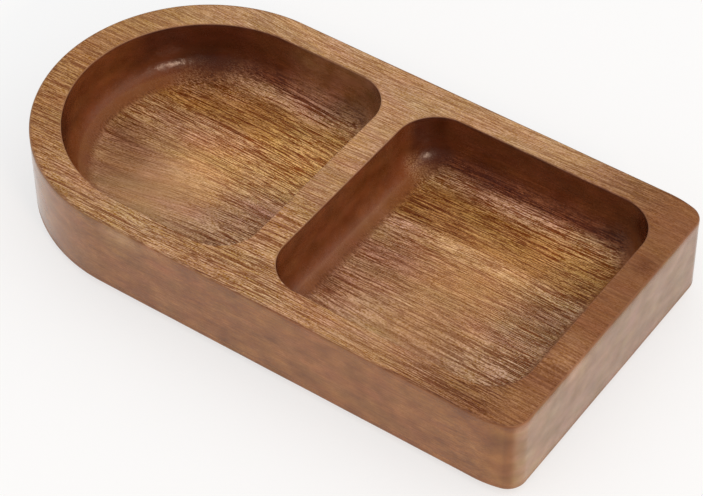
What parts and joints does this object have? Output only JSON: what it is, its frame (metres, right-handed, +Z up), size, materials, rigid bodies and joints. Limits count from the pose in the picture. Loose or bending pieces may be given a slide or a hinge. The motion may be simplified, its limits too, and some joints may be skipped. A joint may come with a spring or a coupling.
{
  "type": "jewelry tray",
  "caption": "Low wooden tray with one half-round end and one square end, a D-shaped well and a square well with coved walls, on small stick-on feet.",
  "frame": {"origin": "on the surface that the tray stands on, in the middle of its length and width", "axes": "+X runs along the tray from the half-round end to the square end, +Z is up, +Y is across the tray"},
  "size_m": [0.2266, 0.12, 0.0336],
  "materials": {
    "oiled_acacia": "oiled and lightly waxed, satin, fine lengthwise grain",
    "foot_rubber": "moulded, matt"
  },
  "bodies": {
    "root": {"tray_body": "oiled_acacia", "foot_arch_left": "foot_rubber", "foot_arch_right": "foot_rubber", "foot_end_left": "foot_rubber", "foot_end_right": "foot_rubber"}
  },
  "joints": []
}
